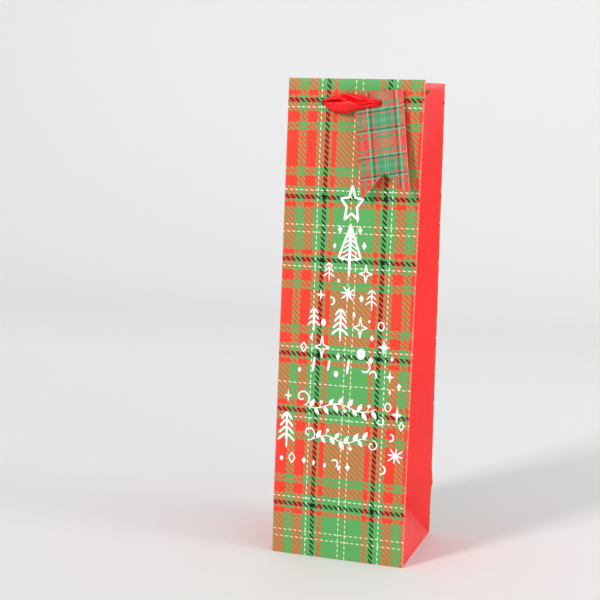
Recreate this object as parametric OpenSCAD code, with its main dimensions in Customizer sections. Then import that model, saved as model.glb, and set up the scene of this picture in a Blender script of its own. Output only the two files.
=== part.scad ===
// Bottle gift bag of laminated card, with satin ribbon handles and a hanging gift tag.
// Origin: centre of the base, on the surface it stands on. Front wall at -Y, +Z up.

/* [Bag] */
// Width of the front and back walls
bag_w = 100; // [90:1:110]
// Depth of the base, which is also the width of each gusset
bag_d = 90; // [86:1:100]
// Height of the bag
bag_h = 350; // [330:1:370]
// Distance between the front and back walls at the mouth
mouth_d = 68; // [64:1:76]
// Distance that the middle crease of each gusset is folded in at its lower end
foot_in = 18.5; // [16:0.5:20]
// Thickness of the card
paper_t = 0.4; // [0.3:0.05:0.5]

/* [Stiffening] */
// Depth of the edge that is turned in at the mouth
hem_h = 40; // [36:1:50]
// Thickness of the strip of board inside each turned edge
stiffener_t = 0.8; // [0.6:0.1:0.8]
// Thickness of the loose board on the base
board_t = 1; // [0.8:0.1:1.5]

/* [Ribbon] */
// Distance of each ribbon hole from the middle of the wall
hole_x = 24; // [23:0.5:25]
// Distance of the ribbon holes below the mouth
hole_drop = 17; // [15:0.5:18]
// Radius of the ribbon holes
hole_r = 3; // [2.8:0.1:3.5]
// Height of the ribbon where it crosses a wall
ribbon_h = 15; // [12:0.5:16]
// Length of each of the two stretches that the handle folds into
link_l = 56; // [50:1:57]

/* [Tag] */
// Width of the tag
tag_w = 35; // [30:1:36]
// Length of the tag to its two points
tag_l = 74.5; // [60:0.5:80]
// Depth of the notch between the points
tag_notch = 17; // [8:1:20]
// Sideways tilt of the tag as it hangs
tag_tilt = 8; // [0:0.1:12]
// Angle at which the tag stands off the wall
tag_stand = 5; // [4:0.1:6]

/* [Hidden] */
$fn = 48;

card_red = [0.93, 0.16, 0.16];
card_white = [0.95, 0.95, 0.93];
card_grey = [0.72, 0.70, 0.66];
satin_red = [0.80, 0.02, 0.04];
tartan = [0.62, 0.42, 0.25];
tag_green = [0.35, 0.62, 0.48];

half_d = bag_d / 2;                         // also the width of half a gusset
crease_z = sqrt(pow(half_d, 2) - pow(foot_in, 2));   // height of the middle crease's lower end
mouth_in = sqrt(pow(half_d, 2) - pow(mouth_d / 2, 2));
lean_angle = atan((half_d - mouth_d / 2) / (bag_h - crease_z));
hem_z = bag_h - hem_h;
hole_z = bag_h - hole_drop;

hem_stack = 2 * paper_t + stiffener_t;      // wall, stiffener and turned edge together
stack_half_w = bag_w / 2 - 2.2;             // half the width of what lies inside the walls
base_inset = 0.9;                           // room that the leaning walls leave round the base
edge_gap = 0.1;
layer_gap = 0.04;                           // between a gusset and its turned edge
vent_in = 16.5;                             // the gusset's small hole, from its back fold
vent_drop = 7;                              // and below the mouth
vent_r = 2.1;

ribbon_t = 1;
stub_r = 2.4;                               // gathered ribbon in a wall's hole
ribbon_off = 4.4;                           // gap behind the ribbon where it crosses the front
back_off = 1.6;
ribbon_cut = -8.5;                          // where the ribbon starts to move with the tag
cut_gap = 0.3;
tag_hole_x = 18.5;
tag_off = 3;                                // distance of the tag's hole from the wall
tag_t = 0.5;
tag_top = 8.3;                              // card above the centre of the tag's hole
tag_hole_r = 2.4;
turn_r = 1.9;

strand_w = 5;                               // ribbon gathered into a handle strand
raise_gap = 1.7;                            // hinge line's distance from the turned edge
fold_gap = 1.5;                             // half the distance between the handle's two layers
elbow_x = 10;
knot_r = 3.2;
knot_drop = 26;
knot_in = 0.5;
loop_r = 6.8;
loop_hole_r = 1.8;

// Share of the way from the middle crease's lower end to the mouth
function above_crease(z) = max(0, z - crease_z) / (bag_h - crease_z);
// Distance of a wall's outer face from the middle plane at height z
function wall_y(z) = half_d - (half_d - mouth_d / 2) * above_crease(z);
// How far in the middle crease lies at height z
function fold_in(z) = foot_in + (mouth_in - foot_in) * above_crease(z);
// Outer end of the gusset's front half at height z: its diagonal crease or its middle crease
function gusset_end(z) = z < crease_z
    ? [bag_w / 2 - foot_in * z / crease_z, -half_d * (1 - z / crease_z)]
    : [bag_w / 2 - fold_in(z), 0];
// Four corners of the front half's section at height z, at a depth under its outer face
function gusset_row(z, depth, edge) =
    let (start = [bag_w / 2, -wall_y(z)], run = gusset_end(z) - start,
         first = start + run * edge / run.y, shift = norm(run) / run.y)
    [for (c = [[first, depth], [first, depth + paper_t],
               [start + run, depth + paper_t], [start + run, depth]])
     [c[0].x - c[1] * shift, c[0].y, z]];
// Middle of a handle's tails, seen from the side, for the front handle
function raise_y() = -wall_y(hole_z) + hem_stack + raise_gap;

// Solid through a list of four-cornered rows; its two broad sides are split the same way
module rows_solid(rows) {
    n = len(rows);
    sides = [for (k = [0:n - 2], i = [0:3]) let (a = 4 * k + i, b = 4 * k + (i + 1) % 4)
             each i == 1 ? [[b + 4, a + 4, b], [a + 4, a, b]]
                         : [[b + 4, a + 4, a], [b + 4, a, b]]];
    top = 4 * (n - 1);
    polyhedron(points = [for (row = rows, p = row) p],
               faces = concat([[3, 2, 1, 0], [top, top + 1, top + 2, top + 3]], sides));
}

// Sheet parallel to the front wall, with its outer side at the given depth under the wall's face
module wall_sheet(x0, x1, z0, z1, depth, thick) {
    heights = z0 < crease_z && crease_z < z1 ? [z0, crease_z, z1] : [z0, z1];
    outer = [for (z = heights) [depth - wall_y(z), z]];
    inner = [for (i = [len(heights) - 1:-1:0])
             [depth + thick - wall_y(heights[i]), heights[i]]];
    translate([x0, 0, 0]) rotate([90, 0, 90])
        linear_extrude(x1 - x0) polygon(concat(outer, inner));
}

// Both ribbon holes, as cutters through the front wall
module ribbon_holes() {
    for (side = [-1, 1])
        translate([side * hole_x, -wall_y(hole_z), hole_z]) rotate([90, 0, 0])
            cylinder(h = 12, r = hole_r, center = true);
}

// Puts its children in the front wall's own frame: x along the wall, y inwards, z up the wall
module on_wall(x) {
    translate([x, -wall_y(hole_z), hole_z]) rotate([-lean_angle, 0, 0]) children();
}

module to_back() { mirror([0, 1, 0]) children(); }
module to_left() { mirror([1, 0, 0]) children(); }

module wall() {
    difference() {
        wall_sheet(-bag_w / 2, bag_w / 2, 0, bag_h, 0, paper_t);
        ribbon_holes();
    }
}

module front_panel() { color(tartan) wall(); }
module back_panel() { color(tartan) to_back() wall(); }

// Front half of the right gusset, from its lower diagonal crease to the mouth
module gusset_half() {
    steps = 8;
    heights = concat([2 * paper_t, crease_z / 2],
                     [for (i = [0:steps]) crease_z + (hem_z - crease_z) * i / steps], [bag_h]);
    rows_solid([for (z = heights) gusset_row(z, 0, paper_t)]);
}

// Cutter for the small round hole near the mouth, square to the gusset's back half
module vent() {
    z = bag_h - vent_drop;
    share = vent_in / half_d;
    translate([bag_w / 2 - fold_in(z) * share, wall_y(z) * (1 - share), z])
        rotate([0, 90, -atan(fold_in(z) / wall_y(z))])
            cylinder(h = 8, r = vent_r, center = true);
}

module right_gusset_front() { color(card_red) gusset_half(); }
module right_gusset_back() {
    color(card_red) difference() {
        to_back() gusset_half();
        vent();
    }
}
module left_gusset_front() { color(card_red) to_left() gusset_half(); }
module left_gusset_back() { color(card_red) to_left() to_back() gusset_half(); }

// Triangle of the right gusset between the base and the two diagonal creases
module gusset_foot() {
    thick = paper_t * half_d / crease_z;
    rows_solid([for (z = [0, crease_z - edge_gap])
                let (end = gusset_end(z), y = end.y + paper_t * (1 - z / crease_z))
                [[end.x, y, z], [end.x - thick, y, z], [end.x - thick, -y, z], [end.x, -y, z]]]);
}

module right_gusset_foot() { color(card_red) gusset_foot(); }
module left_gusset_foot() { color(card_red) to_left() gusset_foot(); }

// Glued flap that closes the tube of card, inside the back wall
module side_seam_flap() {
    color(card_white) to_back()
        wall_sheet(stack_half_w - 13, stack_half_w - 1, 4, hem_z - 1, paper_t, paper_t);
}

module wall_hem() {
    difference() {
        wall_sheet(-stack_half_w, stack_half_w, hem_z, bag_h,
                   paper_t + stiffener_t, paper_t);
        ribbon_holes();
    }
}

module front_hem() { color(card_red) wall_hem(); }
module back_hem() { color(card_red) to_back() wall_hem(); }

// Turned edge inside the front half of the right gusset
module gusset_hem() {
    rows_solid([for (z = [hem_z, bag_h])
                gusset_row(z, paper_t + layer_gap, hem_stack + edge_gap)]);
}

module right_hem_front() { color(card_red) gusset_hem(); }
module right_hem_back() {
    color(card_red) difference() {
        to_back() gusset_hem();
        vent();
    }
}
module left_hem_front() { color(card_red) to_left() gusset_hem(); }
module left_hem_back() { color(card_red) to_left() to_back() gusset_hem(); }

module stiffener() {
    difference() {
        wall_sheet(-stack_half_w + 1, stack_half_w - 1, hem_z + 4, bag_h - 0.5,
                   paper_t, stiffener_t);
        ribbon_holes();
    }
}

module front_stiffener() { color(card_grey) stiffener(); }
module back_stiffener() { color(card_grey) to_back() stiffener(); }

// Flap of the base that is folded in from the front wall, level counted in sheets of card
module long_flap(level) {
    reach = bag_d * 0.66;
    half_w = bag_w / 2 - base_inset;
    translate([-half_w, base_inset - half_d, level * paper_t])
        cube([2 * half_w, reach, paper_t]);
}

// Flap of the base that is folded in from the right gusset
module end_flap() {
    edge = bag_w / 2 - base_inset - edge_gap;
    wide = half_d - base_inset;
    narrow = wide * 0.45;
    reach = bag_w * 0.4;
    translate([0, 0, 2 * paper_t]) linear_extrude(paper_t)
        polygon([[edge, -wide], [edge, wide], [edge - reach, narrow], [edge - reach, -narrow]]);
}

module base_flap_back() { color(card_white) to_back() long_flap(0); }
module base_flap_front() { color(card_white) long_flap(1); }
module base_flap_right() { color(card_white) end_flap(); }
module base_flap_left() { color(card_white) to_left() end_flap(); }

module base_board() {
    size = [bag_w - 4, bag_d - 4, board_t];
    color(card_grey) translate([-size.x / 2, -size.y / 2, 3 * paper_t]) cube(size);
}

// Pointed oval that the ribbon takes between two gathers, from x0 to x1, kept from cut0 to cut1
module ribbon_oval(x0, x1, cut0, cut1, off) {
    half_l = (x1 - x0) / 2;
    half_h = ribbon_h / 2;
    arc_r = (half_l * half_l + half_h * half_h) / (2 * half_h);
    translate([0, -off, 0]) rotate([90, 0, 0]) linear_extrude(ribbon_t) intersection() {
        translate([(x0 + x1) / 2, arc_r - half_h]) circle(arc_r, $fn = 180);
        translate([(x0 + x1) / 2, half_h - arc_r]) circle(arc_r, $fn = 180);
        translate([cut0, -half_h]) square([cut1 - cut0, ribbon_h]);
    }
}

// Gathered ribbon through a wall's hole, ending the given distance in front of the wall
module ribbon_stub(x, out) {
    inner = hem_stack + 0.7;
    translate([x, inner, 0]) rotate([90, 0, 0]) cylinder(h = inner + out, r = stub_r);
}

// Front ribbon: through the left hole and over the wall, and its end in the right hole
module front_ribbon() {
    color(satin_red) on_wall(0) {
        ribbon_oval(-hole_x, tag_hole_x, -hole_x, ribbon_cut, ribbon_off);
        ribbon_stub(-hole_x, ribbon_off + ribbon_t);
        ribbon_stub(hole_x, 0.4);
    }
}

// Rest of the front ribbon, over the tag and through the tag's hole
module tag_ribbon() {
    turn_in = tag_off - 1;
    color(satin_red) on_wall(0) {
        ribbon_oval(-hole_x, tag_hole_x, ribbon_cut + cut_gap, tag_hole_x, ribbon_off);
        translate([tag_hole_x, 1 - tag_off, 0]) rotate([90, 0, 0])
            cylinder(h = ribbon_off + ribbon_t - turn_in, r = turn_r);
    }
}

module back_ribbon() {
    color(satin_red) to_back() on_wall(0) {
        ribbon_oval(-hole_x, hole_x, -hole_x, hole_x, back_off);
        for (side = [-1, 1]) ribbon_stub(side * hole_x, back_off + ribbon_t);
    }
}

// The two strands that hang from the front wall's holes to the fold in the handle
module handle_tails() {
    top = 0.4;
    for (side = [-1, 1])
        translate([0, raise_y() + ribbon_t / 2, hole_z]) rotate([90, 0, 0])
            linear_extrude(ribbon_t)
                polygon([for (edge = [[hole_x - strand_w / 2, top], [hole_x + strand_w / 2, top],
                                      [elbow_x + strand_w / 2, -link_l],
                                      [elbow_x - strand_w / 2, -link_l]])
                         [side * edge.x, edge.y]]);
}

// Loop that lies folded up inside the tails: two legs and a half ring on top of them
module handle_loop() {
    arch_z = link_l - loop_r;
    lap = 0.5;
    translate([0, raise_y() + 2 * fold_gap + ribbon_t / 2, hole_z - link_l]) rotate([90, 0, 0])
        linear_extrude(ribbon_t) difference() {
            union() {
                polygon([[-elbow_x - strand_w / 2, 0], [elbow_x + strand_w / 2, 0],
                         [loop_r, arch_z], [-loop_r, arch_z]]);
                translate([0, arch_z]) circle(loop_r);
            }
            polygon([[strand_w / 2 - elbow_x, -lap], [elbow_x - strand_w / 2, -lap],
                     [loop_hole_r, arch_z], [-loop_hole_r, arch_z]]);
            translate([0, arch_z]) circle(loop_hole_r);
        }
}

// Knot that joins the ribbon's two ends, on the left strand
module handle_knot() {
    run = hole_x - elbow_x;
    translate([-hole_x + run * knot_drop / link_l, raise_y() + knot_in, hole_z - knot_drop])
        difference() {
            sphere(knot_r);
            rotate([0, atan(-run / link_l), 0])
                cube([strand_w + 0.4, 2 * knot_in + ribbon_t + 0.4, 3 * knot_r], center = true);
        }
}

module front_handle_tails() { color(satin_red) handle_tails(); }
module front_handle_knot() { color(satin_red) handle_knot(); }
module front_handle_loop() { color(satin_red) handle_loop(); }
module back_handle_tails() { color(satin_red) to_back() handle_tails(); }
module back_handle_knot() { color(satin_red) to_back() handle_knot(); }
module back_handle_loop() { color(satin_red) to_back() handle_loop(); }

// Swallow-tailed tag, hung by its hole
module gift_tag() {
    foot = tag_top - tag_l;
    color(tag_green) on_wall(tag_hole_x) translate([0, -tag_off, 0])
        rotate([0, -tag_tilt, 0]) rotate([-tag_stand, 0, 0]) rotate([90, 0, 0])
            linear_extrude(tag_t, center = true) difference() {
                polygon([[-tag_w / 2, tag_top], [tag_w / 2, tag_top], [tag_w / 2, foot],
                         [0, foot + tag_notch], [-tag_w / 2, foot]]);
                circle(tag_hole_r);
            }
}

front_panel();
back_panel();
right_gusset_front();
right_gusset_back();
right_gusset_foot();
left_gusset_front();
left_gusset_back();
left_gusset_foot();
side_seam_flap();
front_hem();
back_hem();
right_hem_front();
right_hem_back();
left_hem_front();
left_hem_back();
front_stiffener();
back_stiffener();
base_flap_back();
base_flap_front();
base_flap_right();
base_flap_left();
base_board();
front_ribbon();
back_ribbon();
front_handle_tails();
front_handle_knot();
front_handle_loop();
back_handle_tails();
back_handle_knot();
back_handle_loop();
tag_ribbon();
gift_tag();
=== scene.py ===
"""Looks of the bottle gift bag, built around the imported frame.

Card sheets are lofted through sections of the bag at rising heights. Lengths inside the
functions are in millimetres in the row frame, and meshes are scaled to metres when made.
"""

import math

import bpy
import numpy as np
from mathutils import Matrix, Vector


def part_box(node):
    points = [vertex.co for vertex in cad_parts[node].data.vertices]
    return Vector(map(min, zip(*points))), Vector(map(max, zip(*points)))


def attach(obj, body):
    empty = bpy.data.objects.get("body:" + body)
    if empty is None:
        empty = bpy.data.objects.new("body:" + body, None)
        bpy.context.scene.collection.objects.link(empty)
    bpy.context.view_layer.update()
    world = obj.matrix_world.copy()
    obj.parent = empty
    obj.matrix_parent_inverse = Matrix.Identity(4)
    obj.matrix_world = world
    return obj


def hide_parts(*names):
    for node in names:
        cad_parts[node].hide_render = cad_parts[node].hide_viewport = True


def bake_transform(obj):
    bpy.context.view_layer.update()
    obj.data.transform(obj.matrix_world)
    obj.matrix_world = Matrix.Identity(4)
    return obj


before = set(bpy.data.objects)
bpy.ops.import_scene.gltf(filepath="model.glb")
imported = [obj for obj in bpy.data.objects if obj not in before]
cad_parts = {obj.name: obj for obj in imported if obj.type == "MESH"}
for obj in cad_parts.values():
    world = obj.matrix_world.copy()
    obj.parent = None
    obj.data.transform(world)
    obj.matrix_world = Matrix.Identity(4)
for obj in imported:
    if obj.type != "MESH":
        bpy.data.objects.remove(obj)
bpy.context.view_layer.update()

MM = 0.001


def box_mm(node):
    """Lowest and highest corner of a CAD node, in millimetres."""
    return [np.array(corner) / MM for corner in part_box(node)]


# ---------------- sizes from the frame
wall_low, wall_high = box_mm("front_panel")
HALF_W = wall_high[0]
HALF_D = -wall_low[1]
BAG_H = wall_high[2]
MOUTH_Y = HALF_D - 11.0  # distance of a wall from the middle at the mouth
FOOT_IN = 18.5  # how far the gusset is folded in at its lowest crease point
CREASE_Z = math.sqrt(HALF_D**2 - FOOT_IN**2)
MOUTH_IN = math.sqrt(HALF_D**2 - MOUTH_Y**2)
HEM_Z = box_mm("front_hem")[0][2]
HOLE_Z = BAG_H - 17.0
HOLE_X = 23.2
HOLE_R = 2.0
LEAN = math.atan((HALF_D - MOUTH_Y) / (BAG_H - CREASE_Z))

CARD_T = 0.33
FOLD_R = 0.45
CREASE_R = 0.5
BASE_R = 0.6
FOOT_MIN = 0.25  # half width of the middle crease's soft bottom
WRAP = 0.7  # how far the back wall's print reaches round onto the gusset
SHARP = math.radians(50)  # edges that turn by more than this are shaded as sharp


# ---------------- helpers
def srgb(red, green, blue):
    """Linear colour of an 8-bit sRGB one."""

    def linear(value):
        share = value / 255
        return share / 12.92 if share <= 0.04045 else ((share + 0.055) / 1.055) ** 2.4

    return (linear(red), linear(green), linear(blue), 1.0)


def unit(vector):
    """Vector of length 1 in the same direction."""
    return vector / max(1e-9, np.linalg.norm(vector))


def unit_rows(vectors):
    """Each row of an array, brought to length 1."""
    return vectors / np.maximum(1e-9, np.linalg.norm(vectors, axis=1))[:, None]


def smooth(t):
    """Smooth step from 0 to 1."""
    t = np.clip(t, 0.0, 1.0)
    return t * t * (3 - 2 * t)


def bump(value, centre, width):
    """Bell of height 1."""
    return np.exp(-(((value - centre) / width) ** 2))


def ripple(a, b, seed, waves=5, size=90.0):
    """Soft random unevenness of about unit height over two coordinates in millimetres."""
    source = np.random.default_rng(seed)
    total = 0.0
    for _ in range(waves):
        angle, phase = source.uniform(0, 2 * math.pi, 2)
        length = size * source.uniform(0.6, 1.4)
        along = a * math.cos(angle) + b * math.sin(angle)
        total = total + np.sin(2 * math.pi * along / length + phase)
    return total / math.sqrt(waves)


def grid_faces(rows, columns):
    """Quads over a grid of points that is stored row by row."""
    return [
        (r * columns + c, r * columns + c + 1, (r + 1) * columns + c + 1, (r + 1) * columns + c)
        for r in range(rows - 1)
        for c in range(columns - 1)
    ]


def new_object(name, points, faces, materials, smooth_shade=True):
    """Object with a mesh given in millimetres."""
    mesh = bpy.data.meshes.new(name)
    mesh.from_pydata([tuple(p * MM) for p in np.asarray(points, float)], [], faces)
    mesh.validate()
    for material in materials:
        mesh.materials.append(material)
    mesh.polygons.foreach_set("use_smooth", [smooth_shade] * len(mesh.polygons))
    obj = bpy.data.objects.new(name, mesh)
    bpy.context.scene.collection.objects.link(obj)
    return obj


def grid_object(name, grid, materials):
    """Object from a grid of points, rows by columns."""
    grid = np.asarray(grid, float)
    return new_object(name, grid.reshape(-1, 3), grid_faces(*grid.shape[:2]), materials)


def bake_modifiers(obj):
    """Applies an object's modifiers to its mesh."""
    bpy.context.view_layer.update()
    evaluated = obj.evaluated_get(bpy.context.evaluated_depsgraph_get())
    mesh = bpy.data.meshes.new_from_object(evaluated)
    obj.modifiers.clear()
    obj.data = mesh


def mark_sharp(obj):
    """Shades an object's tight edges as sharp."""
    obj.data.set_sharp_from_angle(angle=SHARP)


def thicken(obj, thickness, inner=0, rim=0):
    """Gives a sheet its thickness behind its face, with its own inner and edge materials."""
    weld = obj.modifiers.new("weld", "WELD")
    weld.merge_threshold = 1e-6
    solid = obj.modifiers.new("sheet", "SOLIDIFY")
    solid.thickness = thickness * MM
    solid.offset = -1
    solid.material_offset = inner
    solid.material_offset_rim = rim
    bake_modifiers(obj)
    mark_sharp(obj)


def punch(obj, *cutters):
    """Cuts round holes, each given as centre, axis, radius and length in millimetres."""
    count = 40
    for centre, axis, radius, length in cutters:
        turn = unit(np.array(axis, float))
        side = unit(np.cross(turn, (0.0, 0.0, 1.0)))
        up = np.cross(turn, side)
        rings = [
            np.array(centre) + turn * end * length / 2
            + radius * (side * math.cos(a) + up * math.sin(a))
            for end in (-1, 1)
            for a in np.linspace(0, 2 * math.pi, count, endpoint=False)
        ]
        faces = [(i, (i + 1) % count, count + (i + 1) % count, count + i) for i in range(count)]
        faces += [tuple(range(count - 1, -1, -1)), tuple(range(count, 2 * count))]
        cutter = new_object("cutter", rings, faces, [])
        cut = obj.modifiers.new("hole", "BOOLEAN")
        cut.object = cutter
        cut.operation = "DIFFERENCE"
        cut.solver = "EXACT"
        bake_modifiers(obj)
        bpy.data.objects.remove(cutter)
    mark_sharp(obj)


def belong(obj, body, slot, *nodes):
    """Puts a piece on a body and hides the CAD nodes that it stands for; the slot argument is not used."""
    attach(obj, body)
    if nodes:
        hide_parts(*nodes)


# ---------------- shape of the bag
def above_crease(z):
    """Share of the way from the crease's lower end to the mouth."""
    return np.maximum(0.0, z - CREASE_Z) / (BAG_H - CREASE_Z)


def wall_y(z):
    """Distance of a wall's face from the middle plane."""
    return HALF_D - (HALF_D - MOUTH_Y) * above_crease(z)


def fold_in(z):
    """How far in the middle crease of a gusset lies."""
    return FOOT_IN + (MOUTH_IN - FOOT_IN) * above_crease(z)


def wall_bow(x, z, seed):
    """How far a wall swells out between its folds."""
    across = 1 - (x / HALF_W) ** 2
    lift = np.sin(math.pi * np.clip(z / BAG_H, 0, 1)) ** 0.8
    stiff = 1 - 0.75 * smooth((z - HEM_Z + 30) / 40)
    uneven = 0.22 * ripple(x, z, seed) * smooth(z / 30)
    return across * (0.75 * lift * stiff + uneven * (0.35 + 0.65 * stiff))


def fillet(corner, before, after, reach, count):
    """Rounded corner between two directions, which starts and ends at a reach from it."""
    start = corner - before * reach
    end = corner + after * reach
    t = np.linspace(0, 1, count + 1)[:, None]
    return (1 - t) ** 2 * start + 2 * t * (1 - t) * corner + t**2 * end


def turn_tangent(before, after):
    """Tangent of half the angle between two directions."""
    cosine = float(np.clip(np.dot(before, after), -0.999, 0.999))
    return math.tan(math.acos(cosine) / 2)


LEFT_SEED = 31
RIGHT_SEED = 17
DENT_Z = 43.0  # height at which each back fold was pressed
DENT = {LEFT_SEED: 0.6, RIGHT_SEED: 1.3}  # and how far it stands out there
FOLD_STEPS = 6
CREASE_STEPS = 4
HALF_STEPS = 16
FOOT_STEPS = 10
WALL_STEPS = 36
FRONT, BACK = 1, -1
WALL_SEED = {FRONT: 11, BACK: 23}


def side_section(z, seed):
    """Right side of the bag's section at height z, from the front fold to the back fold."""
    share = min(z / CREASE_Z, 1.0)
    foot_half = max(HALF_D * (1 - share), FOOT_MIN)
    depth = fold_in(z) if z >= CREASE_Z else FOOT_IN * share
    dent = DENT[seed] * bump(z, DENT_Z, 5.0)
    front = np.array([HALF_W, -wall_y(z)])
    back = np.array([HALF_W + dent, wall_y(z) - 0.3 * dent])
    crease_front = np.array([HALF_W - depth, -foot_half])
    crease_back = np.array([HALF_W - depth, foot_half])
    to_crease = unit(crease_front - front)
    from_crease = unit(back - crease_back)
    along = np.array([0.0, 1.0])
    right = np.array([1.0, 0.0])
    length = np.linalg.norm(crease_front - front)
    fold = min(FOLD_R * turn_tangent(right, to_crease), 0.4 * length)
    crease = min(CREASE_R * turn_tangent(to_crease, along), 0.4 * length, 0.45 * foot_half)
    wrap = min(WRAP, 0.2 * length)
    front[0] += 0.6 * fold
    back[0] += 0.6 * fold
    swell = 0.45 * smooth(z / 60) * (1 - 0.7 * smooth((z - HEM_Z + 30) / 50))

    def half(start, end, offset):
        """Points across one half of the gusset, which swells a little."""
        t = np.linspace(0, 1, HALF_STEPS + 1)
        uneven = 1 + ripple(45 * t + offset, z, seed, size=110.0)
        out = unit(np.array([(end - start)[1], (start - end)[0]]))
        proud = swell * uneven * np.sin(math.pi * t)
        return start + (end - start) * t[:, None] + out * proud[:, None]

    first = fillet(front, right, to_crease, fold, FOLD_STEPS)
    lower = half(front + to_crease * fold, crease_front - to_crease * crease, 0)
    corner = fillet(crease_front, to_crease, along, crease, CREASE_STEPS)
    foot = np.linspace(crease_front + along * crease, crease_back - along * crease, FOOT_STEPS + 1)
    corner_back = fillet(crease_back, along, from_crease, crease, CREASE_STEPS)
    edge = back - from_crease * (fold + wrap)
    upper = half(crease_back + from_crease * crease, edge, 45)
    strip = np.linspace(edge, back - from_crease * fold, 3)
    last = fillet(back, from_crease, -right, fold, FOLD_STEPS)
    gusset = np.vstack([lower, corner[1:], foot[1:], corner_back[1:], upper[1:]])
    return first, gusset, np.vstack([strip, last[1:]])


def wall_section(z, right_end, left_end, seed):
    """Wall between two folds, from left to right as seen from outside it."""
    t = np.linspace(0, 1, WALL_STEPS + 1)
    t = np.unique(np.concatenate([t, [0.006, 0.014, 0.986, 0.994]]))
    start = left_end[-1]
    end = right_end[0]
    points = start + (end - start) * t[:, None]
    points[:, 1] -= wall_bow(points[:, 0], z, seed)
    return np.vstack([left_end[:-1], points, right_end[1:]])


def mirrored(points):
    """Points of the right side, carried over to the left and put in reverse order."""
    return (points * np.array([-1.0, 1.0]))[::-1]


def section(z):
    """The bag's whole section at a height, as a dictionary of pieces' points."""
    right_front, right_gusset, right_back = side_section(z, RIGHT_SEED)
    left_front, left_gusset, left_back = [mirrored(p) for p in side_section(z, LEFT_SEED)]
    turn = np.array([-1.0, -1.0])
    return {
        "front": wall_section(z, right_front, left_front, WALL_SEED[FRONT]),
        "right": right_gusset,
        "back": wall_section(z, left_back * turn, right_back * turn, WALL_SEED[BACK]) * turn,
        "left": left_gusset,
    }


def inward(points):
    """Unit directions into the bag along a section's points."""
    along = unit_rows(np.gradient(points, axis=0))
    return np.stack([-along[:, 1], along[:, 0]], axis=1)


def lofted(part, rows):
    """Grid of points for one part of the section; rows are (height, inset, depth)."""
    grid = []
    for z, inset, depth in rows:
        points = section(max(z, 0.0))[part]
        if depth:
            points = points + inward(points) * depth
        squeeze = np.array([(HALF_W - inset) / HALF_W, (HALF_D - inset) / HALF_D])
        grid.append(np.column_stack([points * squeeze, np.full(len(points), z)]))
    return np.array(grid)


def base_rows():
    """Rows of the rounded fold at the base."""
    angles = np.radians((10, 26, 42, 58, 74))
    return [(BASE_R * (1 - math.cos(a)), BASE_R * (1 - math.sin(a)), 0) for a in angles]


def climb_rows(top):
    """Rows from just above the base to a height, with one on the crease's lower end."""
    low = np.concatenate([[BASE_R, 1.2, 2.2, 3.6], np.linspace(5.5, CREASE_Z, 13)])
    return [(z, 0, 0) for z in np.concatenate([low, np.linspace(CREASE_Z, top, 62)[1:]])]


def mouth_rows():
    """Rows that round a sheet's top edge over into the bag."""
    angles = np.radians((30, 60, 85))
    return [(BAG_H - CARD_T * (1 - math.sin(a)), 0, CARD_T * (1 - math.cos(a))) for a in angles]


# ---------------- material graphs
class Graph:
    """A material whose nodes are made by short calls. Values may be numbers or sockets."""

    def __init__(self, name):
        self.material = bpy.data.materials.new(name)
        self.material.use_nodes = True
        self.tree = self.material.node_tree
        self.shader = self.tree.nodes["Principled BSDF"]

    def node(self, kind, inputs=(), output=0, **settings):
        made = self.tree.nodes.new(kind)
        for key, value in settings.items():
            setattr(made, key, value)
        for key, value in dict(inputs).items():
            self.put(made.inputs[key], value)
        return made.outputs[output]

    def put(self, socket, value):
        if isinstance(value, bpy.types.NodeSocket):
            self.tree.links.new(value, socket)
        else:
            socket.default_value = value

    def math(self, operation, a, b=0.0, c=0.0):
        return self.node("ShaderNodeMath", {0: a, 1: b, 2: c}, operation=operation)

    def mix(self, share, a, b):
        made = self.tree.nodes.new("ShaderNodeMix")
        made.data_type = "RGBA"
        self.put(made.inputs[0], share)
        self.put(made.inputs[6], a)
        self.put(made.inputs[7], b)
        return made.outputs[2]

    def noise(self, vector, scale, detail=2.0, roughness=0.5):
        inputs = {"Vector": vector, "Scale": scale, "Detail": detail, "Roughness": roughness}
        return self.node("ShaderNodeTexNoise", inputs)

    def clamp(self, value, low, high):
        return self.math("MINIMUM", self.math("MAXIMUM", value, low), high)

    def ramp(self, value, stops, interpolation="LINEAR"):
        made = self.tree.nodes.new("ShaderNodeValToRGB")
        ramp = made.color_ramp
        ramp.interpolation = interpolation
        while len(ramp.elements) < len(stops):
            ramp.elements.new(1.0)
        for element, (place, colour) in zip(ramp.elements, stops):
            element.position = place
            element.color = colour
        self.put(made.inputs[0], value)
        return made.outputs[0]

    def bump(self, height, strength, distance):
        inputs = {"Height": height, "Strength": strength, "Distance": distance}
        self.put(self.shader.inputs["Normal"], self.node("ShaderNodeBump", inputs))

    def parts(self, vector):
        """The three parts of a vector."""
        split = self.tree.nodes.new("ShaderNodeSeparateXYZ")
        self.put(split.inputs[0], vector)
        return split.outputs

    def place(self):
        """Object position in metres, and its three parts."""
        vector = self.node("ShaderNodeTexCoord", output=3)
        return vector, self.parts(vector)

    def finish(self, colour, roughness, specular=0.5):
        """Sets the surface's colour, roughness and specular level, and gives the material."""
        self.put(self.shader.inputs["Base Color"], colour)
        self.put(self.shader.inputs["Roughness"], roughness)
        self.shader.inputs["Specular IOR Level"].default_value = specular
        return self.material


# Half of the sett, from its green centre to its red centre: where each colour starts, in mm
GREEN_HALF = 15.3
SETT_HALF = 57.3
TWILL = 3.9
SETT = [
    (0.0, "green"), (2.2, "cream"), (2.75, "green"), (GREEN_HALF, "red"), (19.0, "green"),
    (21.0, "black"), (24.0, "green"), (27.2, "white"), (27.9, "green"), (30.3, "red"),
    (37.9, "green"), (40.7, "red"), (41.2, "green"), (44.0, "red"),
]
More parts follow.
